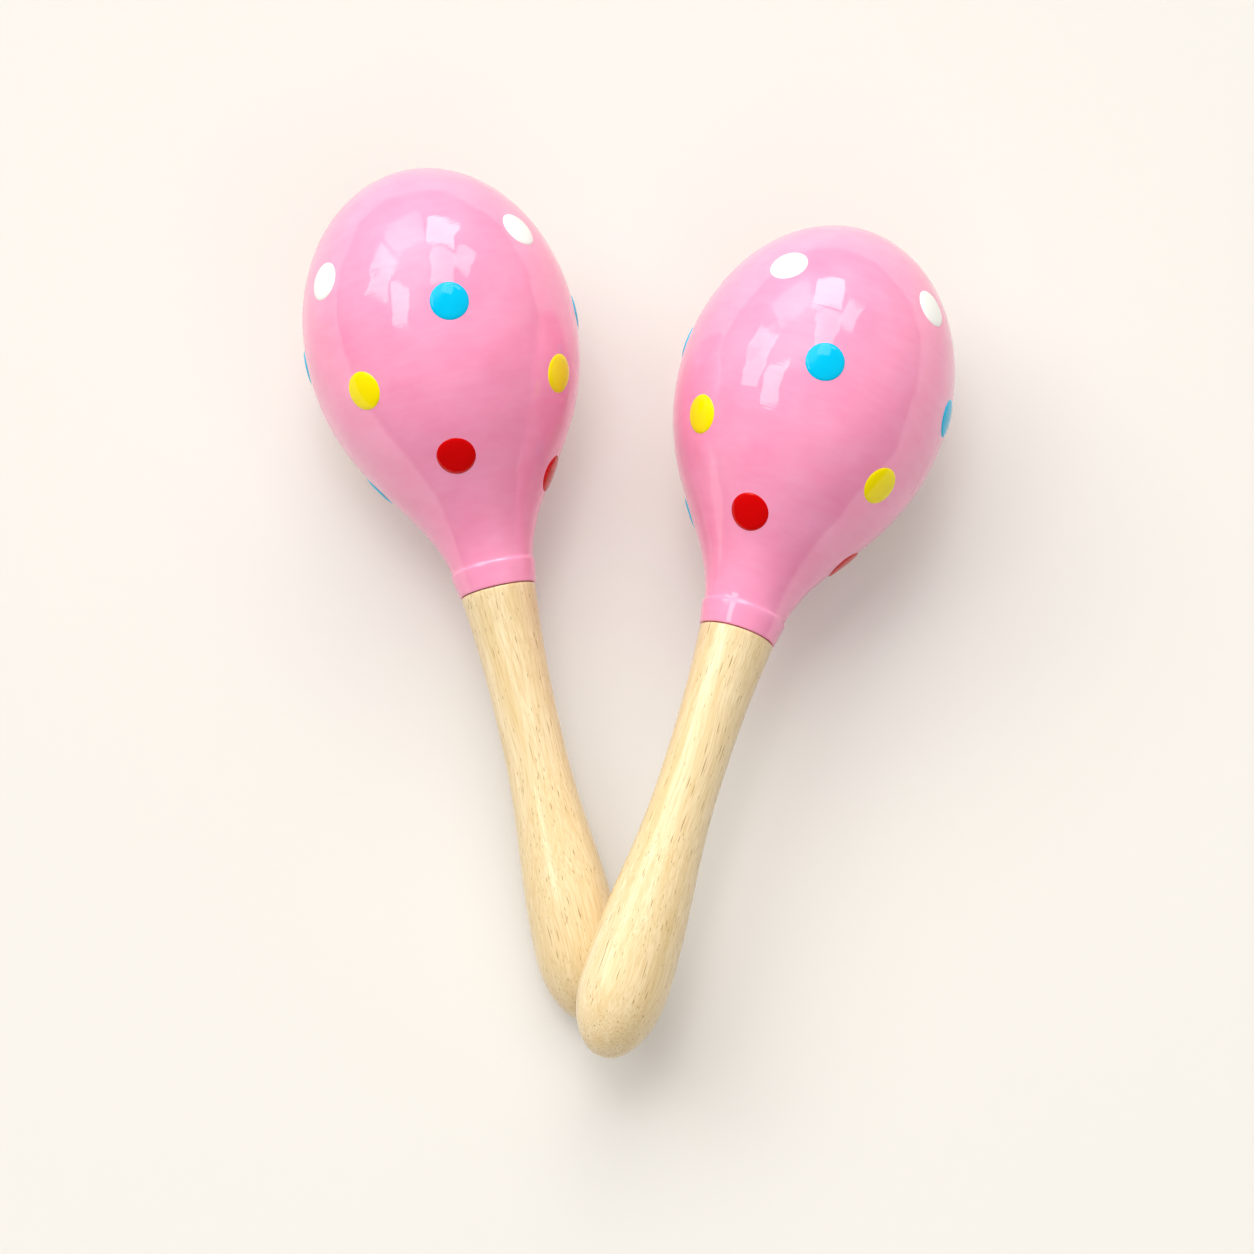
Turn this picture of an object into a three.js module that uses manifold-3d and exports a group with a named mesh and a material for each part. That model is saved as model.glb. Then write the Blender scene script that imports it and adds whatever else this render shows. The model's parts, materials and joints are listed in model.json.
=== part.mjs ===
// A pair of toy maracas: egg-shaped wooden heads in pink lacquer with raised polka dots, each glued on a
// turned club handle. They lie on their sides on the floor, the right handle resting on the left one's butt.
// Millimetres and degrees, +Z up, the floor at z = 0, +Y from the handles towards the heads.

import * as THREE from 'three';
import { mergeVertices } from 'three/addons/utils/BufferGeometryUtils.js';
import Module from 'manifold-3d';

const wasm = await Module();
wasm.setup();

// Head, measured up its own axis from the face that meets the handle
const HEAD_DIAMETER = 62.6;
const EQUATOR_HEIGHT = 60;
const CROWN_HEIGHT = 39.5;
const SHOULDER_FULLNESS = 28;
const NECK_DIAMETER = 19.2;
const NECK_FLARE = 11.5;
const NECK_EASE = 17.8;
const COLLAR_LENGTH = 5.2;
const COLLAR_LIP_DIAMETER = 19.7;
const COLLAR_FOOT_DIAMETER = 17.6;

// Hollow inside the head, and the glued lap that joins its two halves at the widest ring
const HEAD_WALL = 4.5;
const CHAMBER_FLOOR = 7.7;
const LAP_LENGTH = 5;
const LAP_THICKNESS = 1.8;

// Handle, measured down from the head
const HANDLE_LENGTH = 100.5;
const HANDLE_TOP_DIAMETER = 17.2;
const TOP_TAPER = 5.7;
const TOP_EASE = 12;
const WAIST_DROP = 34.5;
const WAIST_DIAMETER = 14;
const WAIST_EASE = 14;
const SWELL_DIAMETER = 20;
const SWELL_EASE = 20.5;
const BUTT_LENGTH = 17;
const TENON_DIAMETER = 10;
const TENON_LENGTH = 18;
const TENON_CHAMFER = 1;

// Raised dots
const DOT_DIAMETER = 8.8;
const DOT_THICKNESS = 0.4;
const DOT_BED = 0.15;

// Loose beads: one in the middle and a ring of them round it
const BEAD_DIAMETER = 5;
const RING_BEADS = 6;
const BEAD_SPACING = 0.4;
const BEAD_CLEARANCE = 0.45;

// Glue line between turned pieces, and the gap between the two handles
const GLUE_GAP = 0.3;
const HANDLE_GAP = 0.3;

// How the pair lies: each head leans outwards, and the right butt lies nearer the front and further across
const LEFT_LEAN = 13;
const RIGHT_LEAN = 17.6;
const BUTT_STEP = 11.4;
const BUTT_SHIFT = 1.3;

// Facets round the turned pieces, rings along them, and points down the middle of a handle
const HEAD_FACETS = 36;
const HANDLE_FACETS = 20;
const CROWN_RINGS = 8;
const SHOULDER_RINGS = 10;
const CHAMBER_RINGS = 8;
const HANDLE_RINGS = 6;
const BUTT_RINGS = 5;
const DOT_FACETS = 16;
const BEAD_FACETS = 8;
const BEAD_RINGS = 6;
const CORE_POINTS = 80;

// Where the dots are set by hand: [turn round the head from the top, rise above the widest ring]
const LEFT_DOTS = {
  white: [[-55, 15], [51, 17], [131, 16], [-140, 16]],
  blue: [[4.5, 1.5], [93.5, -0.5], [-98, 0.5], [-105, -31]],
  yellow: [[-43, -12.5], [56, -17], [137, -15], [-138, -16]],
  red: [[-9, -31.5], [79, -37], [175, -35], [150, 1]],
};
const RIGHT_DOTS = {
  white: [[-28, 19.5], [52, 22], [140, 21], [-125, 21]],
  blue: [[4, -2], [81, 1.5], [-92, 3], [-108, -34.5]],
  yellow: [[-50, -18], [53, -21.5], [138, -18], [-140, -18]],
  red: [[-15, -36.5], [99, -36.5], [-175, -35.5], [-150, 1]],
};

const lacquer = new THREE.MeshStandardMaterial({ color: 0xfd9fc4, roughness: 0.12, metalness: 0 });
const beech = new THREE.MeshStandardMaterial({ color: 0xf0d9aa, roughness: 0.4, metalness: 0 });
const steel = new THREE.MeshStandardMaterial({ color: 0xc4c6c8, roughness: 0.3, metalness: 1 });
const paints = {
  white: new THREE.MeshStandardMaterial({ color: 0xfdfcf9, roughness: 0.15, metalness: 0 }),
  blue: new THREE.MeshStandardMaterial({ color: 0x02a8e6, roughness: 0.15, metalness: 0 }),
  yellow: new THREE.MeshStandardMaterial({ color: 0xfdea03, roughness: 0.15, metalness: 0 }),
  red: new THREE.MeshStandardMaterial({ color: 0xcb0203, roughness: 0.15, metalness: 0 }),
};

const headRadius = HEAD_DIAMETER / 2;
const socketDepth = TENON_LENGTH + GLUE_GAP;
const chamberRadius = headRadius - HEAD_WALL;
const chamberBottom = socketDepth + CHAMBER_FLOOR;
const chamberNeckDepth = EQUATOR_HEIGHT - chamberBottom;
const chamberCrownDepth = CROWN_HEIGHT - HEAD_WALL;
const swellDrop = HANDLE_LENGTH - BUTT_LENGTH;

const radians = THREE.MathUtils.degToRad;
const point = (radius, height) => new THREE.Vector2(radius, height);

// A quarter ellipse from the axis out to the widest ring, above or below it
function quarterOval(radius, depth, height, upward, rings) {
  const start = upward ? Math.PI / 2 : -Math.PI / 2;
  const points = new THREE.EllipseCurve(0, height, radius, depth, start, 0, upward).getPoints(rings);
  points[0].x = 0;
  return points;
}

// Outside of the head, from the crown's tip down to the widest ring
function crownOutline() {
  return quarterOval(headRadius, CROWN_HEIGHT, EQUATOR_HEIGHT, true, CROWN_RINGS);
}

// Outside of the head, from the widest ring down to the top of the collar
function shoulderOutline() {
  const neckRadius = NECK_DIAMETER / 2;
  const flare = NECK_EASE * Math.tan(radians(NECK_FLARE));
  return new THREE.CubicBezierCurve(
    point(headRadius, EQUATOR_HEIGHT),
    point(headRadius, EQUATOR_HEIGHT - SHOULDER_FULLNESS),
    point(neckRadius + flare, COLLAR_LENGTH + NECK_EASE),
    point(neckRadius, COLLAR_LENGTH),
  ).getPoints(SHOULDER_RINGS);
}

// Outside of the handle, from the face under the collar down to the tip of the butt
function handleOutline() {
  const topRadius = HANDLE_TOP_DIAMETER / 2;
  const waistRadius = WAIST_DIAMETER / 2;
  const swellRadius = SWELL_DIAMETER / 2;
  const taper = TOP_EASE * Math.tan(radians(TOP_TAPER));
  const upper = new THREE.CubicBezierCurve(
    point(topRadius, -GLUE_GAP),
    point(topRadius - taper, -GLUE_GAP - TOP_EASE),
    point(waistRadius, WAIST_EASE - WAIST_DROP),
    point(waistRadius, -WAIST_DROP),
  ).getPoints(HANDLE_RINGS);
  const lower = new THREE.CubicBezierCurve(
    point(waistRadius, -WAIST_DROP),
    point(waistRadius, -WAIST_DROP - SWELL_EASE),
    point(swellRadius, SWELL_EASE - swellDrop),
    point(swellRadius, -swellDrop),
  ).getPoints(HANDLE_RINGS);
  const butt = quarterOval(swellRadius, BUTT_LENGTH, -swellDrop, false, BUTT_RINGS).reverse();
  return [...upper, ...lower.slice(1), ...butt.slice(1)];
}

// Half-width of the chamber below the widest ring
function chamberReach(height) {
  const down = (EQUATOR_HEIGHT - height) / chamberNeckDepth;
  return chamberRadius * Math.sqrt(1 - down * down);
}

// A piece turned about its Y axis, with a flat facet underneath
function turned(outline, facets) {
  return new THREE.LatheGeometry([...outline].reverse(), facets, Math.PI / facets);
}

function crownShellGeometry() {
  const outside = crownOutline();
  outside.at(-1).y += GLUE_GAP / 2;
  const lapRadius = chamberRadius + LAP_THICKNESS;
  const lapEnd = EQUATOR_HEIGHT - LAP_LENGTH;
  const inside = quarterOval(chamberRadius, chamberCrownDepth, EQUATOR_HEIGHT, true, CHAMBER_RINGS);
  return turned([
    ...outside,
    point(lapRadius, EQUATOR_HEIGHT + GLUE_GAP / 2),
    point(lapRadius, lapEnd),
    point(chamberReach(lapEnd), lapEnd),
    ...inside.reverse(),
  ], HEAD_FACETS);
}

function neckShellGeometry() {
  const outside = shoulderOutline();
  outside[0].y -= GLUE_GAP / 2;
  const rebateRadius = chamberRadius + LAP_THICKNESS + GLUE_GAP;
  const rebateFloor = EQUATOR_HEIGHT - LAP_LENGTH - GLUE_GAP;
  const socketRadius = TENON_DIAMETER / 2 + GLUE_GAP;
  const bowl = quarterOval(chamberRadius, chamberNeckDepth, EQUATOR_HEIGHT, false, CHAMBER_RINGS);
  return turned([
    ...bowl.filter((p) => p.y < rebateFloor - GLUE_GAP),
    point(chamberReach(rebateFloor), rebateFloor),
    point(rebateRadius, rebateFloor),
    point(rebateRadius, EQUATOR_HEIGHT - GLUE_GAP / 2),
    ...outside,
    point(COLLAR_LIP_DIAMETER / 2, COLLAR_LENGTH),
    point(COLLAR_FOOT_DIAMETER / 2, 0),
    point(socketRadius, 0),
    point(socketRadius, socketDepth),
    point(0, socketDepth),
  ], HEAD_FACETS);
}

function handleGeometry() {
  const tenonRadius = TENON_DIAMETER / 2;
  return turned([
    point(0, TENON_LENGTH),
    point(tenonRadius - TENON_CHAMFER, TENON_LENGTH),
    point(tenonRadius, TENON_LENGTH - TENON_CHAMFER),
    point(tenonRadius, -GLUE_GAP),
    ...handleOutline(),
  ], HANDLE_FACETS);
}

// A closed solid for cutting and joining, from a geometry whose shared corners are merged
function solidOf(geometry) {
  const bare = geometry.clone();
  bare.deleteAttribute('normal');
  bare.deleteAttribute('uv');
  const merged = mergeVertices(bare, 1e-4);
  const corners = merged.index.array;
  const triangles = [];
  for (let i = 0; i < corners.length; i += 3) {
    const [a, b, c] = corners.slice(i, i + 3);
    if (a !== b && b !== c && c !== a) triangles.push(a, b, c);
  }
  return new wasm.Manifold(new wasm.Mesh({
    numProp: 3,
    vertProperties: new Float32Array(merged.attributes.position.array),
    triVerts: new Uint32Array(triangles),
  }));
}

function geometryOf(solid) {
  const mesh = solid.getMesh();
  const geometry = new THREE.BufferGeometry();
  geometry.setAttribute('position', new THREE.BufferAttribute(mesh.vertProperties, 3));
  geometry.setIndex(new THREE.BufferAttribute(mesh.triVerts, 1));
  return geometry;
}

// Directions square to the head's outline, at each of its points
function outlineNormals(outline) {
  return outline.map((p, i) => {
    const before = outline[Math.max(i - 1, 0)];
    const after = outline[Math.min(i + 1, outline.length - 1)];
    return i === 0 ? point(0, 1) : point(before.y - after.y, after.x - before.x).normalize();
  });
}

const headOutline = [...crownOutline(), ...shoulderOutline().slice(1)];
const headNormals = outlineNormals(headOutline);

// The whole head grown outwards by some thickness
function grownHead(thickness) {
  const grown = headOutline.map((p, i) => p.clone().addScaledVector(headNormals[i], thickness));
  grown[0].x = 0;
  const last = grown.at(-1);
  return solidOf(turned([...grown, point(0, last.y)], HEAD_FACETS));
}

const dotUnderside = grownHead(DOT_BED);
const dotTop = grownHead(DOT_BED + DOT_THICKNESS);

// A thin round dot that follows the curve of the head
function dotGeometry([turn, rise]) {
  const height = EQUATOR_HEIGHT + rise;
  const i = headOutline.findIndex((p) => p.y < height);
  const share = (headOutline[i - 1].y - height) / (headOutline[i - 1].y - headOutline[i].y);
  const place = headOutline[i - 1].clone().lerp(headOutline[i], share);
  const square = headNormals[i - 1].clone().lerp(headNormals[i], share).normalize();
  const around = new THREE.Matrix4().makeRotationY(radians(turn));
  const centre = new THREE.Vector3(0, place.y, place.x).applyMatrix4(around);
  const outward = new THREE.Vector3(0, square.y, square.x).applyMatrix4(around);
  const punch = new THREE.CylinderGeometry(DOT_DIAMETER / 2, DOT_DIAMETER / 2, DOT_DIAMETER, DOT_FACETS);
  punch.applyQuaternion(new THREE.Quaternion().setFromUnitVectors(new THREE.Vector3(0, 1, 0), outward));
  punch.translate(centre.x, centre.y, centre.z);
  return geometryOf(dotTop.intersect(solidOf(punch)).subtract(dotUnderside));
}

// The point of an outline that lies lowest when the axis is tipped up towards the crown
function lowestPoint(outline, tip) {
  const depth = (p) => p.x * Math.cos(tip) - p.y * Math.sin(tip);
  return outline.reduce((low, p) => (depth(p) > depth(low) ? p : low));
}

// Outline of the flat facet that a turned piece lies on
function facetOutline(outline, facets) {
  return outline.map((p) => point(p.x * Math.cos(Math.PI / facets), p.y));
}

const headFacet = facetOutline(headOutline, HEAD_FACETS);

// How far the axis tips when the head and the swell of the handle both lie on the floor
function floorTip() {
  const handleFacet = facetOutline(handleOutline(), HANDLE_FACETS);
  let tip = 0;
  for (let pass = 0; pass < 12; pass += 1) {
    const front = lowestPoint(headFacet, tip);
    const back = lowestPoint(handleFacet, tip);
    tip = Math.atan2(front.x - back.x, front.y - back.y);
  }
  return tip;
}

// How high the handle's seat is when the head lies on the floor
function seatHeight(tip) {
  const low = lowestPoint(headFacet, tip);
  return low.x * Math.cos(tip) - low.y * Math.sin(tip);
}

// Beads lie in a flat cluster at the lowest part of the chamber
function beadPlaces(tip) {
  const shrink = BEAD_DIAMETER / 2 + BEAD_CLEARANCE;
  const across = chamberRadius - shrink;
  const pitch = BEAD_DIAMETER + BEAD_SPACING;
  const ring = Math.max(pitch, pitch / (2 * Math.sin(Math.PI / RING_BEADS)));
  const sink = (chamberNeckDepth * Math.sin(tip)) ** 2 + (chamberRadius * Math.cos(tip)) ** 2;
  const lowest = (chamberNeckDepth ** 2 * Math.sin(tip)) / Math.sqrt(sink);
  const spots = [point(0, -lowest)];
  for (let i = 0; i < RING_BEADS; i += 1) {
    const angle = (2 * Math.PI * i) / RING_BEADS;
    spots.push(point(ring * Math.cos(angle), ring * Math.sin(angle) - lowest));
  }
  return spots.map(({ x, y }) => {
    const along = (y < 0 ? chamberNeckDepth : chamberCrownDepth) - shrink;
    const drop = across * Math.sqrt(1 - (x / across) ** 2 - (y / along) ** 2);
    return new THREE.Vector3(x, EQUATOR_HEIGHT + y, -drop);
  });
}

// One maraca standing on its handle's seat, with its axis along Y
function maraca(side, dots, tip) {
  const group = new THREE.Group();
  const addPiece = (name, geometry, material) => {
    const mesh = new THREE.Mesh(geometry, material);
    mesh.name = `${side}_${name}`;
    group.add(mesh);
    return mesh;
  };
  addPiece('crown_shell', crownShellGeometry(), lacquer);
  addPiece('neck_shell', neckShellGeometry(), lacquer);
  addPiece('handle', handleGeometry(), beech);
  for (const [paint, places] of Object.entries(dots)) {
    places.forEach((place, i) => addPiece(`${paint}_dot_${i + 1}`, dotGeometry(place), paints[paint]));
  }
  beadPlaces(tip).forEach((place, i) => {
    const ball = new THREE.SphereGeometry(BEAD_DIAMETER / 2, BEAD_FACETS, BEAD_RINGS);
    addPiece(`rattle_bead_${i + 1}`, ball, steel).position.copy(place);
  });
  return group;
}

// A maraca laid down on its head, with its butt's tip over a point of the floor and leaning to one side
function laidDown(group, { tip, lean, butt }) {
  const tipped = new THREE.Group();
  tipped.rotation.x = tip;
  tipped.position.set(0, HANDLE_LENGTH * Math.cos(tip), seatHeight(tip));
  tipped.add(group);
  const laid = new THREE.Group();
  laid.rotation.z = radians(lean);
  laid.position.set(butt.x, butt.y, 0);
  laid.add(tipped);
  return laid;
}

// Points down the middle of a handle that lies so, each with the handle's radius there
function handleCore({ tip, lean, butt }) {
  return new THREE.Path(handleOutline()).getSpacedPoints(CORE_POINTS).map(({ x, y }) => {
    const plan = point(0, (y + HANDLE_LENGTH) * Math.cos(tip));
    plan.rotateAround(point(0, 0), radians(lean)).add(butt);
    return { centre: new THREE.Vector3(plan.x, plan.y, seatHeight(tip) + y * Math.sin(tip)), radius: x };
  });
}

// The smallest space between two handles
function handleSpace(under, over) {
  const overCore = handleCore(over);
  const space = (p, q) => p.centre.distanceTo(q.centre) - p.radius - q.radius;
  return Math.min(...handleCore(under).flatMap((p) => overCore.map((q) => space(p, q))));
}

// How far the axis tips when the head lies on the floor and the handle on the other handle
function crossedTip(under, over) {
  const clears = (tip) => handleSpace(under, { ...over, tip }) >= HANDLE_GAP;
  if (clears(under.tip)) return under.tip;
  let sunk = under.tip;
  let raised = under.tip - radians(30);
  for (let pass = 0; pass < 20; pass += 1) {
    const tip = (sunk + raised) / 2;
    if (clears(tip)) raised = tip;
    else sunk = tip;
  }
  return raised;
}

const leftPose = { tip: floorTip(), lean: LEFT_LEAN, butt: point(0, 0) };
const rightPose = { lean: -RIGHT_LEAN, butt: point(BUTT_SHIFT, -BUTT_STEP) };
rightPose.tip = crossedTip(leftPose, rightPose);

const pair = new THREE.Group();
pair.add(laidDown(maraca('left', LEFT_DOTS, leftPose.tip), leftPose));
pair.add(laidDown(maraca('right', RIGHT_DOTS, rightPose.tip), rightPose));

// The origin is on the floor under the middle of the pair
pair.updateMatrixWorld(true);
const box = new THREE.Box3().setFromObject(pair, true);
const middle = box.getCenter(new THREE.Vector3());
pair.position.set(-middle.x, -middle.y, -box.min.z);
pair.updateMatrixWorld(true);

export default pair;
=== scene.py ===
import json
import math

import bpy
from mathutils import Matrix, Vector
from mathutils.geometry import interpolate_bezier

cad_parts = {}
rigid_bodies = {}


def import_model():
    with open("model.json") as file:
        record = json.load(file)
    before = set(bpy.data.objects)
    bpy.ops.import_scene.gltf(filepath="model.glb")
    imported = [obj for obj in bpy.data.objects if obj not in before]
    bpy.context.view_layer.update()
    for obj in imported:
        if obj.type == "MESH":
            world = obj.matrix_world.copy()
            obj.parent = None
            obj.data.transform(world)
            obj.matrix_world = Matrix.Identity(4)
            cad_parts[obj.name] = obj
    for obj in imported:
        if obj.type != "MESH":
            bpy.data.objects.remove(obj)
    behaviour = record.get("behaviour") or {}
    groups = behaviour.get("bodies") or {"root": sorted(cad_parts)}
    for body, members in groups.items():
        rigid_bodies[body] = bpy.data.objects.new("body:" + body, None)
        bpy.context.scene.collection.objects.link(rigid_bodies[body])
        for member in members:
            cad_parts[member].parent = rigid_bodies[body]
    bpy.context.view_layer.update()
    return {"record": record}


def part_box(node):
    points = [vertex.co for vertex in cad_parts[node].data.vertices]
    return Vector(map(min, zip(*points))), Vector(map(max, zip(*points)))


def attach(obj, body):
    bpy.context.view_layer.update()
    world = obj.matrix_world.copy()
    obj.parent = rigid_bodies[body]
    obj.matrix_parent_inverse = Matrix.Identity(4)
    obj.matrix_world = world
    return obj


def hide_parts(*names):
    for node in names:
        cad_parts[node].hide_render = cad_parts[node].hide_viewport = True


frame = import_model()
bpy.context.scene.view_settings.view_transform = "Standard"


# Heads
# Each head is a hollow egg of turned wood in two halves, glued at the equator and lacquered pink
# over the joint. The neck ends in a short collar with a raised lip, bored for the handle's tenon.

HEAD_RADIUS = 0.0313
EQUATOR = 0.060
CROWN_HEIGHT = 0.0395
SHOULDER_FULLNESS = 0.028
NECK_RADIUS = 0.00954
NECK_FOOT = 0.0061
LIP_RADIUS = 0.00965
LIP_TOP = 0.0054
COLLAR_RADIUS = 0.00971
COLLAR_TOP = 0.0046
COLLAR_FOOT_RADIUS = 0.00889
COLLAR_FOOT = 0.0004
SEAT_RADIUS = 0.0085
SOCKET_RADIUS = 0.0053
SOCKET_CHAMFER = 0.0003
SOCKET_DEPTH = 0.0183
CHAMBER_RADIUS = 0.0268
CHAMBER_TOP = 0.095
CHAMBER_BOTTOM = 0.026
WAIST_DROP = 0.0345
HEAD_FACETS = 144
CHAMBER_FACETS = 72
WELD_DISTANCE = 2e-6

# Where each maraca lies: its seat face is the origin, +Z runs to the crown and -Y faces up.
resting = {}
for grip in frame["record"]["mounts"]:
    crownward = -Vector(grip["axis"]).normalized()
    up = (Vector((0, 0, 1)) - crownward * crownward.z).normalized()
    place = Matrix((crownward.cross(up), -up, crownward)).transposed().to_4x4()
    place.translation = Vector(grip["pos_m"]) + crownward * WAIST_DROP
    resting[grip["name"].removesuffix("_grip")] = place


def quarter(radius, height, middle, count):
    """Points of a quarter ellipse as (radius, height), from its end on the axis to its widest place."""
    turns = [math.pi / 2 * k / (count - 1) for k in range(count)]
    return [(radius * math.sin(t), middle + height * math.cos(t)) for t in turns]


def flow_on(outline, pull, push, end, count):
    """Carries an outline on to a new end in one smooth stretch, drawn by two points beside its way."""
    stretch = interpolate_bezier(*map(Vector, (outline[-1], pull, push, end)), count)
    outline.extend(tuple(p) for p in stretch[1:])


def new_piece(name):
    """An empty mesh, open for work."""
    bpy.ops.object.select_all(action="DESELECT")
    bpy.ops.mesh.primitive_plane_add(size=0.001)
    bpy.context.object.name = name
    bpy.ops.object.mode_set(mode="EDIT")
    bpy.ops.mesh.delete(type="VERT")
    return bpy.context.object


def turn_outline(outline, steps, hollow=False):
    """Draws an outline point by point in the open mesh and turns it once round the upright axis."""
    bpy.ops.mesh.select_all(action="DESELECT")
    bpy.ops.mesh.primitive_plane_add(size=0.001)
    bpy.ops.mesh.merge(type="CENTER")
    bpy.ops.transform.translate(value=(outline[0][0], 0, outline[0][1]))
    for (r0, z0), (r1, z1) in zip(outline, outline[1:]):
        bpy.ops.mesh.extrude_region_move(TRANSFORM_OT_translate={"value": (r1 - r0, 0, z1 - z0)})
    bpy.ops.mesh.select_linked()
    bpy.ops.mesh.spin(steps=steps, angle=2 * math.pi, center=(0, 0, 0), axis=(0, 0, 1))
    bpy.ops.mesh.select_linked()
    bpy.ops.mesh.remove_doubles(threshold=WELD_DISTANCE)
    bpy.ops.mesh.normals_make_consistent(inside=hollow)


def lay_down(piece, side):
    """Closes the open mesh and turns the upright piece to where its maraca lies."""
    bpy.ops.object.mode_set(mode="OBJECT")
    bpy.ops.object.shade_smooth_by_angle(angle=math.radians(40))
    piece.matrix_world = resting[side]
    bpy.ops.object.transform_apply(location=True, rotation=True, scale=True)


def colour(red, green, blue):
    """A colour read as 0 to 255 on a screen, as the linear values that a shader takes."""
    linear = [c / 12.92 if c <= 0.04045 else ((c + 0.055) / 1.055) ** 2.4
              for c in (red / 255, green / 255, blue / 255)]
    return (*linear, 1)


def put(tree, kind, values=None, **settings):
    """Adds a node: a value that is a socket is linked, and any other is set."""
    node = tree.nodes.new(kind)
    for name, value in settings.items():
        setattr(node, name, value)
    for name, value in (values or {}).items():
        if isinstance(value, bpy.types.NodeSocket):
            tree.links.new(value, node.inputs[name])
        else:
            node.inputs[name].default_value = value
    return node


def mix(tree, share, first, second):
    """The colour between two colours."""
    return put(tree, "ShaderNodeMix", {0: share, 6: first, 7: second}, data_type="RGBA").outputs[2]


def maths(tree, operation, *values):
    """The result of one operation on numbers."""
    return put(tree, "ShaderNodeMath", dict(enumerate(values)), operation=operation).outputs[0]


def vectors(tree, operation, *values):
    """The result of one operation on vectors."""
    return put(tree, "ShaderNodeVectorMath", dict(enumerate(values)), operation=operation).outputs[0]


def span(tree, value, reach, result=(0.0, 1.0), **settings):
    """A value's reach, stretched to run over another one and held at its ends."""
    values = {"Value": value, "From Min": reach[0], "From Max": reach[1],
              "To Min": result[0], "To Max": result[1]}
    return put(tree, "ShaderNodeMapRange", values, **settings).outputs["Result"]


def noise(tree, spot, scale, detail, roughness=0.5):
    """Soft random patches, as a value and as a colour."""
    values = {"Vector": spot, "Scale": scale, "Detail": detail, "Roughness": roughness}
    return put(tree, "ShaderNodeTexNoise", values).outputs


def raise_skin(tree, shader, height, depth):
    """Makes a height tell in the light, with a depth in metres between its lowest and highest."""
    bump = put(tree, "ShaderNodeBump", {"Height": height, "Strength": 1.0, "Distance": depth})
    tree.links.new(bump.outputs["Normal"], shader.inputs["Normal"])


def new_material(name):
    """A node material, with its tree and shader to work on."""
    material = bpy.data.materials.new(name)
    material.use_nodes = True
    return material, material.node_tree, material.node_tree.nodes["Principled BSDF"]


def new_group(name, takes, gives):
    """An empty node group with named sockets, and its two ends."""
    group = bpy.data.node_groups.new(name, "ShaderNodeTree")
    for socket, kind in takes.items():
        group.interface.new_socket(socket, in_out="INPUT", socket_type=f"NodeSocket{kind}")
    for socket, kind in gives.items():
        group.interface.new_socket(socket, in_out="OUTPUT", socket_type=f"NodeSocket{kind}")
    return group, put(group, "NodeGroupInput").outputs, put(group, "NodeGroupOutput").inputs


def along_axis(tree, side, shift):
    """Object coordinates turned so that +Z runs up the maraca's own axis, and slid along it so that
    the two maracas don't have the same pattern."""
    spot = put(tree, "ShaderNodeTexCoord").outputs["Object"]
    place = resting[side]
    turned = put(tree, "ShaderNodeMapping", {"Vector": spot, "Location": place.translation,
                 "Rotation": place.to_euler("XYZ")}, vector_type="TEXTURE")
    return vectors(tree, "ADD", turned.outputs["Vector"], (0, 0, shift))


# How paint levels out on the wood: slow cloudy changes of tint and a shallow ripple.
paint_skin, skin_in, skin_out = new_group(
    "paint_skin", {"Vector": "Vector", "Cloud Scale": "Float", "Ripple Scale": "Float"},
    {"Cloud": "Float", "Ripple": "Float"})
cloud = noise(paint_skin, skin_in["Vector"], skin_in["Cloud Scale"], 3.0)
ripple = noise(paint_skin, skin_in["Vector"], skin_in["Ripple Scale"], 2.0, roughness=0.35)
paint_skin.links.new(cloud["Fac"], skin_out["Cloud"])
paint_skin.links.new(ripple["Fac"], skin_out["Ripple"])


def pink_lacquer(side, shift):
    """High-gloss pink lacquer, faintly cloudy, with the lathe's fine rings just telling through it."""
    material, tree, shader = new_material(f"pink_lacquer_{side}")
    axis = along_axis(tree, side, shift)
    skin = put(tree, "ShaderNodeGroup", {"Vector": axis, "Cloud Scale": 75.0, "Ripple Scale": 110.0},
               node_tree=paint_skin).outputs
    round_the_head = vectors(tree, "MULTIPLY", axis, (0.25, 0.25, 1.0))
    brush = noise(tree, round_the_head, 700.0, 2.0)["Fac"]
    tone = span(tree, maths(tree, "MULTIPLY_ADD", brush, 0.4, skin["Cloud"]), (0.45, 0.95))
    pink = mix(tree, tone, colour(253, 149, 190), colour(255, 165, 203))
    tree.links.new(pink, shader.inputs["Base Color"])
    polish = span(tree, skin["Cloud"], (0.0, 1.0), (0.02, 0.06))
    tree.links.new(polish, shader.inputs["Roughness"])
    rings = put(tree, "ShaderNodeTexWave", {"Vector": axis, "Scale": 440.0, "Distortion": 3.0,
                "Detail": 2.0, "Detail Scale": 0.8}, bands_direction="Z").outputs["Fac"]
    lines = maths(tree, "MULTIPLY", rings, skin["Cloud"])
    raise_skin(tree, shader, maths(tree, "MULTIPLY_ADD", lines, 0.015, skin["Ripple"]), 0.0004)
    shader.inputs["IOR"].default_value = 1.7
    shader.inputs["Coat Weight"].default_value = 0.2
    shader.inputs["Coat Roughness"].default_value = 0.27
    return material


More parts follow.
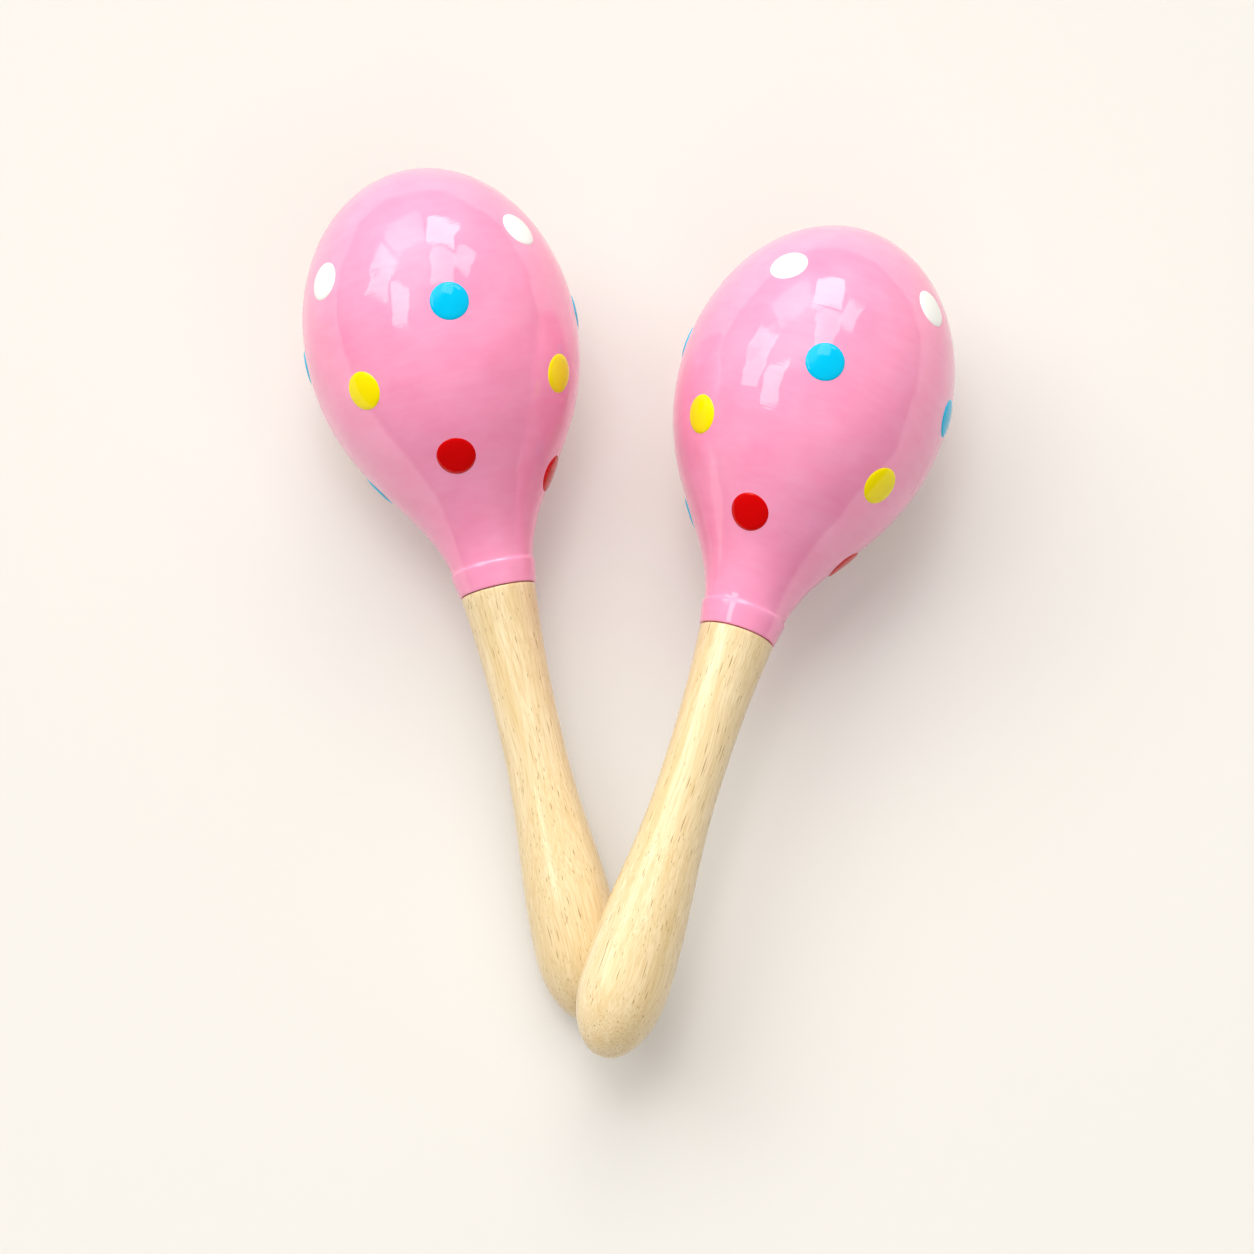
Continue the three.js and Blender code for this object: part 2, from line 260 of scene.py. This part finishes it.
head_outline = quarter(HEAD_RADIUS, CROWN_HEIGHT, EQUATOR, 44)
flow_on(head_outline, (HEAD_RADIUS, EQUATOR - SHOULDER_FULLNESS), (0.01315, 0.0235),
        (NECK_RADIUS, NECK_FOOT), 60)
flow_on(head_outline, (0.00950, 0.0058), (0.00955, 0.00555), (LIP_RADIUS, LIP_TOP), 6)
flow_on(head_outline, (0.00974, 0.00526), (0.00976, 0.0050), (COLLAR_RADIUS, COLLAR_TOP), 6)
flow_on(head_outline, (0.00945, 0.0032), (0.00918, 0.0018), (COLLAR_FOOT_RADIUS, COLLAR_FOOT), 5)
flow_on(head_outline, (0.00884, 0.00012), (0.00872, 0), (SEAT_RADIUS, 0), 6)
head_outline += [(SOCKET_RADIUS + SOCKET_CHAMFER, 0), (SOCKET_RADIUS, SOCKET_CHAMFER)]
head_outline += [(SOCKET_RADIUS, SOCKET_DEPTH), (0, SOCKET_DEPTH)]

chamber_outline = quarter(CHAMBER_RADIUS, CHAMBER_TOP - EQUATOR, EQUATOR, 20)
chamber_outline += quarter(CHAMBER_RADIUS, CHAMBER_BOTTOM - EQUATOR, EQUATOR, 20)[-2::-1]

heads = {}
for side, shift in (("left", 0.0), ("right", 0.37)):
    head = new_piece(f"{side}_head")
    turn_outline(head_outline, HEAD_FACETS)
    turn_outline(chamber_outline, CHAMBER_FACETS, hollow=True)
    lay_down(head, side)
    head.data.materials.append(pink_lacquer(side, shift))
    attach(head, f"{side}_maraca")
    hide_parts(f"{side}_crown_shell", f"{side}_neck_shell")
    heads[side] = head


# Handles
# Each handle is one piece of pale beech, turned to a waist and a rounded club end, with a tenon
# glued up into the head. It has a clear satin varnish, and its pores show as short brown flecks.

HANDLE_LENGTH = 0.1005
GLUE_LINE = 0.00013
TOP_RADIUS = 0.00861
TOP_FLAT_RADIUS = 0.0081
TOP_EDGE = 0.0005
WAIST_RADIUS = 0.0070
WAIST_EASE = 0.014
SWELL_RADIUS = 0.0100
SWELL_EASE = 0.0205
BUTT_LENGTH = 0.017
TENON_RADIUS = 0.005
TENON_LENGTH = 0.018
TENON_CHAMFER = 0.001
HANDLE_FACETS = 96

beech_grain, grain_in, grain_out = new_group(
    "beech_grain", {"Vector": "Vector"}, {"Color": "Color", "Roughness": "Float", "Height": "Float"})


def drawn_out(spot, share):
    """Coordinates squeezed along the handle, so that what is drawn on them runs with the grain."""
    return vectors(beech_grain, "MULTIPLY", spot, (1.0, 1.0, share))


def flecks(spot, scale, share, width, kept):
    """Thin dark pores, each in its own cell, with only some of the cells kept."""
    cells = put(beech_grain, "ShaderNodeTexVoronoi", {"Vector": drawn_out(spot, share),
                "Scale": scale}).outputs
    mark = span(beech_grain, cells["Distance"], (0.4 * width, width), (1.0, 0.0),
                interpolation_type="SMOOTHSTEP")
    chance = put(beech_grain, "ShaderNodeSeparateColor", {0: cells["Color"]}).outputs["Red"]
    keep = span(beech_grain, chance, (1.0 - kept, 1.25 - kept))
    return maths(beech_grain, "MULTIPLY", mark, keep)


wander = noise(beech_grain, grain_in["Vector"], 30.0, 1.0)["Color"]
wander = vectors(beech_grain, "SUBTRACT", wander, (0.5, 0.5, 0.5))
grown = vectors(beech_grain, "MULTIPLY_ADD", wander, (0.004, 0.004, 0.0), grain_in["Vector"])
bands = noise(beech_grain, drawn_out(grown, 0.06), 330.0, 3.0)["Fac"]
fibres = noise(beech_grain, drawn_out(grown, 0.04), 3000.0, 3.0, roughness=0.6)["Fac"]
long_pores = flecks(grown, 1000.0, 0.030, 0.165, 0.7)
pores = flecks(grown, 1350.0, 0.060, 0.18, 0.6)
tiny_pores = flecks(grown, 2300.0, 0.15, 0.24, 0.4)
for others in (long_pores, tiny_pores):
    pores = maths(beech_grain, "MAXIMUM", pores, others)
broad = span(beech_grain, bands, (0.3, 0.7))
wood = mix(beech_grain, broad, colour(246, 227, 190), colour(233, 208, 160))
streak = span(beech_grain, fibres, (0.38, 0.68), (0.0, 0.7))
wood = mix(beech_grain, streak, wood, colour(218, 186, 131))
shown = maths(beech_grain, "MULTIPLY", pores, 0.8)
wood = mix(beech_grain, shown, wood, colour(160, 120, 64))
dull = span(beech_grain, fibres, (0.0, 1.0), (0.08, 0.22))
sunk = maths(beech_grain, "MULTIPLY_ADD", pores, -0.8, fibres)
beech_grain.links.new(wood, grain_out["Color"])
beech_grain.links.new(dull, grain_out["Roughness"])
beech_grain.links.new(sunk, grain_out["Height"])


def beech(side, shift):
    """Varnished beech with its grain along the maraca's axis."""
    material, tree, shader = new_material(f"beech_{side}")
    axis = along_axis(tree, side, shift)
    grain = put(tree, "ShaderNodeGroup", {"Vector": axis}, node_tree=beech_grain).outputs
    tree.links.new(grain["Color"], shader.inputs["Base Color"])
    tree.links.new(grain["Roughness"], shader.inputs["Roughness"])
    raise_skin(tree, shader, grain["Height"], 0.000025)
    shader.inputs["IOR"].default_value = 1.6
    return material


handle_top = -GLUE_LINE
tenon_top = TENON_LENGTH + handle_top
swell_drop = HANDLE_LENGTH - BUTT_LENGTH
handle_outline = [(0, tenon_top), (TENON_RADIUS - TENON_CHAMFER, tenon_top)]
handle_outline += [(TENON_RADIUS, tenon_top - TENON_CHAMFER), (TENON_RADIUS, handle_top)]
handle_outline += [(TOP_FLAT_RADIUS, handle_top)]
flow_on(handle_outline, (0.0084, handle_top), (0.00858, handle_top - 0.00015),
        (TOP_RADIUS, handle_top - TOP_EDGE), 7)
flow_on(handle_outline, (0.00741, -0.0123), (WAIST_RADIUS, WAIST_EASE - WAIST_DROP),
        (WAIST_RADIUS, -WAIST_DROP), 28)
flow_on(handle_outline, (WAIST_RADIUS, -WAIST_DROP - SWELL_EASE), (SWELL_RADIUS, SWELL_EASE - swell_drop),
        (SWELL_RADIUS, -swell_drop), 32)
handle_outline += quarter(SWELL_RADIUS, -BUTT_LENGTH, -swell_drop, 18)[-2::-1]

for side, shift in (("left", 0.0), ("right", 0.41)):
    handle = new_piece(f"{side}_beech_handle")
    turn_outline(handle_outline, HANDLE_FACETS)
    lay_down(handle, side)
    handle.data.materials.append(beech(side, shift))
    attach(handle, f"{side}_maraca")
    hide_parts(f"{side}_handle")


# Dots
# Round drops of thick gloss enamel, four of each of four colours on each head. Each one has set
# as a low button that follows the head's curve, with a rounded edge that sits in the lacquer.

DOT_RADIUS = 0.00445
DOT_HEIGHT = 0.00064
DOT_BED = 0.00012
DOT_DROP = 0.002
DOT_FACETS = 64
DOT_RINGS = (0.992, 0.976, 0.952, 0.92, 0.875, 0.81, 0.70, 0.54, 0.36, 0.18)

bpy.ops.object.select_all(action="DESELECT")
bpy.ops.mesh.primitive_circle_add(vertices=DOT_FACETS, radius=DOT_RADIUS, fill_type="NGON")
dot_blank = bpy.context.object
dot_blank.name = "dot_blank"
bpy.ops.object.mode_set(mode="EDIT")
reach = DOT_RADIUS
for share in DOT_RINGS:
    bpy.ops.mesh.inset(thickness=reach - share * DOT_RADIUS)
    reach = share * DOT_RADIUS
bpy.ops.mesh.poke()
bpy.ops.object.mode_set(mode="OBJECT")

# How much of its height a dot has at each point: a low dome that turns down sharply at the edge.
swell = dot_blank.vertex_groups.new(name="swell")
for point in dot_blank.data.vertices:
    out = min(1.0, point.co.xy.length / DOT_RADIUS)
    swell.add([point.index], math.sqrt(1 - out ** 10) * (1 - 0.4 * out * out), "REPLACE")


def copy_of(blank, name):
    """A copy of a blank with its own mesh, selected alone."""
    bpy.ops.object.select_all(action="DESELECT")
    bpy.context.view_layer.objects.active = blank
    blank.select_set(True)
    bpy.ops.object.duplicate()
    bpy.context.object.name = name
    return bpy.context.object


def press_on(dot, head):
    """Presses a flat dot down on the lacquer, just into it."""
    wrap = dot.modifiers.new("wrap", "SHRINKWRAP")
    wrap.target = head
    wrap.wrap_method = "PROJECT"
    wrap.use_project_z = True
    wrap.use_negative_direction = True
    wrap.use_positive_direction = False
    wrap.offset = -DOT_BED
    bpy.ops.object.modifier_apply(modifier="wrap")
    bpy.ops.object.transform_apply(location=True, rotation=True, scale=True)


def fill_out(dot):
    """Gives a pressed dot its body, and closes and smooths it."""
    body = dot.modifiers.new("body", "SOLIDIFY")
    body.thickness = DOT_HEIGHT
    body.offset = 1.0
    body.vertex_group = "swell"
    bpy.ops.object.modifier_apply(modifier="body")
    bpy.ops.object.mode_set(mode="EDIT")
    bpy.ops.mesh.select_all(action="SELECT")
    bpy.ops.mesh.remove_doubles(threshold=WELD_DISTANCE)
    bpy.ops.mesh.normals_make_consistent(inside=False)
    bpy.ops.object.mode_set(mode="OBJECT")
    bpy.ops.object.shade_smooth_by_angle(angle=math.radians(60))
    dot.vertex_groups.clear()


def enamel(name, deep, light):
    """Gloss enamel between two shades, nearly level."""
    material, tree, shader = new_material(name)
    spot = put(tree, "ShaderNodeTexCoord").outputs["Object"]
    skin = put(tree, "ShaderNodeGroup", {"Vector": spot, "Cloud Scale": 240.0, "Ripple Scale": 500.0},
               node_tree=paint_skin).outputs
    tree.links.new(mix(tree, skin["Cloud"], deep, light), shader.inputs["Base Color"])
    polish = span(tree, skin["Cloud"], (0.0, 1.0), (0.02, 0.07))
    tree.links.new(polish, shader.inputs["Roughness"])
    raise_skin(tree, shader, skin["Ripple"], 0.000006)
    shader.inputs["Specular IOR Level"].default_value = 0.33
    return material


enamels = {
    "white": enamel("white_enamel", colour(250, 249, 247), colour(254, 254, 252)),
    "blue": enamel("blue_enamel", colour(0, 184, 231), colour(0, 194, 240)),
    "yellow": enamel("yellow_enamel", colour(250, 226, 0), colour(255, 236, 0)),
    "red": enamel("red_enamel", colour(204, 0, 1), colour(216, 0, 3)),
}

for side in resting:
    for paint, finish in enamels.items():
        for number in (1, 2, 3, 4):
            low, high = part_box(f"{side}_{paint}_dot_{number}")
            _, middle, outward, _ = heads[side].closest_point_on_mesh((low + high) / 2)
            dot = copy_of(dot_blank, f"{side}_{paint}_button_{number}")
            dot.matrix_world = Matrix.LocRotScale(middle + outward * DOT_DROP,
                                                  outward.to_track_quat("Z", "Y"), None)
            press_on(dot, heads[side])
            fill_out(dot)
            dot.data.materials.append(finish)
            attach(dot, f"{side}_maraca")
            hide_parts(f"{side}_{paint}_dot_{number}")
bpy.data.objects.remove(dot_blank)


# Rattle beads
# Seven loose balls of steel shot in each head, cropped from wire and tumbled round, so each has a
# small flat at two ends. They lie at the bottom of the chamber until the maraca is shaken.

BEADS_EACH = 7
BEAD_RADIUS = 0.0025
BEAD_FLAT = 0.97 * BEAD_RADIUS

bpy.ops.object.select_all(action="DESELECT")
bpy.ops.mesh.primitive_ico_sphere_add(subdivisions=4, radius=BEAD_RADIUS)
bead_blank = bpy.context.object
bead_blank.name = "bead_blank"
bpy.ops.object.mode_set(mode="EDIT")
for end in (1, -1):
    bpy.ops.mesh.select_all(action="SELECT")
    bpy.ops.mesh.bisect(plane_co=(0, 0, end * BEAD_FLAT), plane_no=(0, 0, end),
                        use_fill=True, clear_outer=True)
bpy.ops.object.mode_set(mode="OBJECT")
bpy.ops.object.shade_smooth_by_angle(angle=math.radians(30))

bead_steel, tree, shader = new_material("bead_steel")
spot = put(tree, "ShaderNodeTexCoord").outputs["Object"]
tumbled = noise(tree, spot, 900.0, 4.0)["Fac"]
steel = mix(tree, tumbled, (0.50, 0.50, 0.51, 1), (0.68, 0.68, 0.69, 1))
tree.links.new(steel, shader.inputs["Base Color"])
tree.links.new(span(tree, tumbled, (0.0, 1.0), (0.18, 0.42)), shader.inputs["Roughness"])
raise_skin(tree, shader, tumbled, 0.00002)
shader.inputs["Metallic"].default_value = 1.0

for side in resting:
    for number in range(1, BEADS_EACH + 1):
        low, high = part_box(f"{side}_rattle_bead_{number}")
        bead = copy_of(bead_blank, f"{side}_steel_bead_{number}")
        bead.location = (low + high) / 2
        bpy.ops.object.transform_apply(location=True, rotation=True, scale=True)
        bead.data.materials.append(bead_steel)
        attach(bead, f"{side}_bead_{number}")
        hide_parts(f"{side}_rattle_bead_{number}")
bpy.data.objects.remove(bead_blank)


# Floor
# A matt sheet of warm white board, wide enough to fill the view and to show in the lacquer. Part of
# its paleness is its own for the camera and for reflections, so that the shadows stay light.

FLOOR_SIZE = 6
OWN_PALENESS = 0.22

bpy.ops.object.select_all(action="DESELECT")
bpy.ops.mesh.primitive_plane_add(size=FLOOR_SIZE)
floor = bpy.context.object
floor.name = "floor"
board, tree, shader = new_material("floor_board")
spot = put(tree, "ShaderNodeTexCoord").outputs["Object"]
tooth = noise(tree, spot, 9.0, 2.0)["Fac"]
pulp = mix(tree, tooth, colour(219, 216, 214), colour(221, 218, 216))
tree.links.new(pulp, shader.inputs["Base Color"])
shader.inputs["Roughness"].default_value = 0.9
shader.inputs["Specular IOR Level"].default_value = 0.1
path = put(tree, "ShaderNodeLightPath").outputs
seen = maths(tree, "MAXIMUM", path["Is Camera Ray"], path["Is Glossy Ray"])
share = maths(tree, "MULTIPLY", seen, OWN_PALENESS)
pale = put(tree, "ShaderNodeEmission", {"Color": colour(250, 244, 233), "Strength": 1.0})
sheet = put(tree, "ShaderNodeMixShader", {0: share, 1: shader.outputs["BSDF"], 2: pale.outputs["Emission"]})
tree.links.new(sheet.outputs["Shader"], tree.nodes["Material Output"].inputs["Surface"])
floor.data.materials.append(board)


# Light
# Daylight from a tall window behind the maracas and another on their left, pane by pane, with soft
# lamps behind them, in front and overhead that the gloss doesn't show. The room is dim in front of
# them and glows in the corner between the two windows.

CORNER_DIRECTION = (-0.33, 0.49, 0.81)
PANE_COLOUR = (1.0, 0.99, 0.88)
LAMP_COLOUR = (1.0, 0.99, 0.99)
LAMP_DISTANCE = 5.0

room = bpy.data.worlds.new("pale_room")
room.use_nodes = True
bpy.context.scene.world = room
tree = room.node_tree
towards = put(tree, "ShaderNodeTexCoord").outputs["Generated"]
facing = put(tree, "ShaderNodeSeparateXYZ", {0: towards}).outputs
walls = put(tree, "ShaderNodeValToRGB", {0: facing["Z"]})
walls.color_ramp.elements[0].color = (0.18, 0.170, 0.148, 1)
walls.color_ramp.elements[1].color = (0.08, 0.077, 0.07, 1)
walls.color_ramp.elements.new(0.5).color = (0.40, 0.380, 0.332, 1)
walls.color_ramp.elements.new(0.85).color = (0.13, 0.125, 0.112, 1)
behind = span(tree, facing["Y"], (-0.4, 0.4))
dim = mix(tree, behind, (0.09, 0.087, 0.079, 1), walls.outputs["Color"])
near = put(tree, "ShaderNodeVectorMath", {0: towards, 1: CORNER_DIRECTION}, operation="DOT_PRODUCT")
glow = span(tree, near.outputs["Value"], (0.89, 0.985), interpolation_type="SMOOTHSTEP")
lit = mix(tree, glow, dim, (1.35, 1.32, 1.17, 1))
tree.links.new(lit, tree.nodes["Background"].inputs["Color"])

# Each lamp's turn from the back towards the right, rise, width and height in degrees, and brightness
lamps = {
    "back_pane_bright": (7, 38, 20, 20, 4.1),
    "back_pane_left": (-24, 35, 25, 22, 1.2),
    "back_pane_high": (11, 61, 17, 22, 2.5),
    "back_pane_right": (32, 47, 11, 15, 2.6),
    "left_pane_near": (-52.5, 38, 12.5, 18, 2.6),
    "left_pane_far": (-69, 38.5, 12.5, 17, 2.6),
    "left_pane_high": (-79, 57.5, 20, 15, 3.0),
    "soft_lamp": (-35, 46, 60, 40, 1.5),
    "front_lamp": (155, 60, 60, 50, 1.13),
    "top_lamp": (-30, 76, 20, 20, 6.4),
}
for name, (turn, rise, width, tall, brightness) in lamps.items():
    turn, rise = math.radians(turn), math.radians(rise)
    aim = Vector((math.sin(turn) * math.cos(rise), math.cos(turn) * math.cos(rise), math.sin(rise)))
    bpy.ops.object.light_add(type="AREA", location=aim * LAMP_DISTANCE)
    lamp = bpy.context.object
    lamp.name = name
    lamp.rotation_euler = aim.to_track_quat("Z", "Y").to_euler()
    lamp.data.shape = "RECTANGLE"
    lamp.data.size = 2 * LAMP_DISTANCE * math.tan(math.radians(width) / 2)
    lamp.data.size_y = 2 * LAMP_DISTANCE * math.tan(math.radians(tall) / 2)
    lamp.data.energy = math.pi * brightness * lamp.data.size * lamp.data.size_y
    lamp.data.color = PANE_COLOUR if "pane" in name else LAMP_COLOUR
    lamp.visible_glossy = "pane" in name


# Camera
# From high over the handles' end, as in the photograph: 73 degrees up, 1.1 m away.

CAMERA_PLACE = (-0.0003, -0.3086, 1.0547)
CAMERA_TARGET = Vector((-0.0003, 0.0038, 0))
SENSOR_MM = 36
LENS_MM = 136.2

bpy.ops.object.camera_add(location=CAMERA_PLACE)
camera = bpy.context.object
camera.rotation_euler = (CAMERA_TARGET - camera.location).to_track_quat("-Z", "Y").to_euler()
camera.data.sensor_width = SENSOR_MM
camera.data.lens = LENS_MM
bpy.context.scene.camera = camera
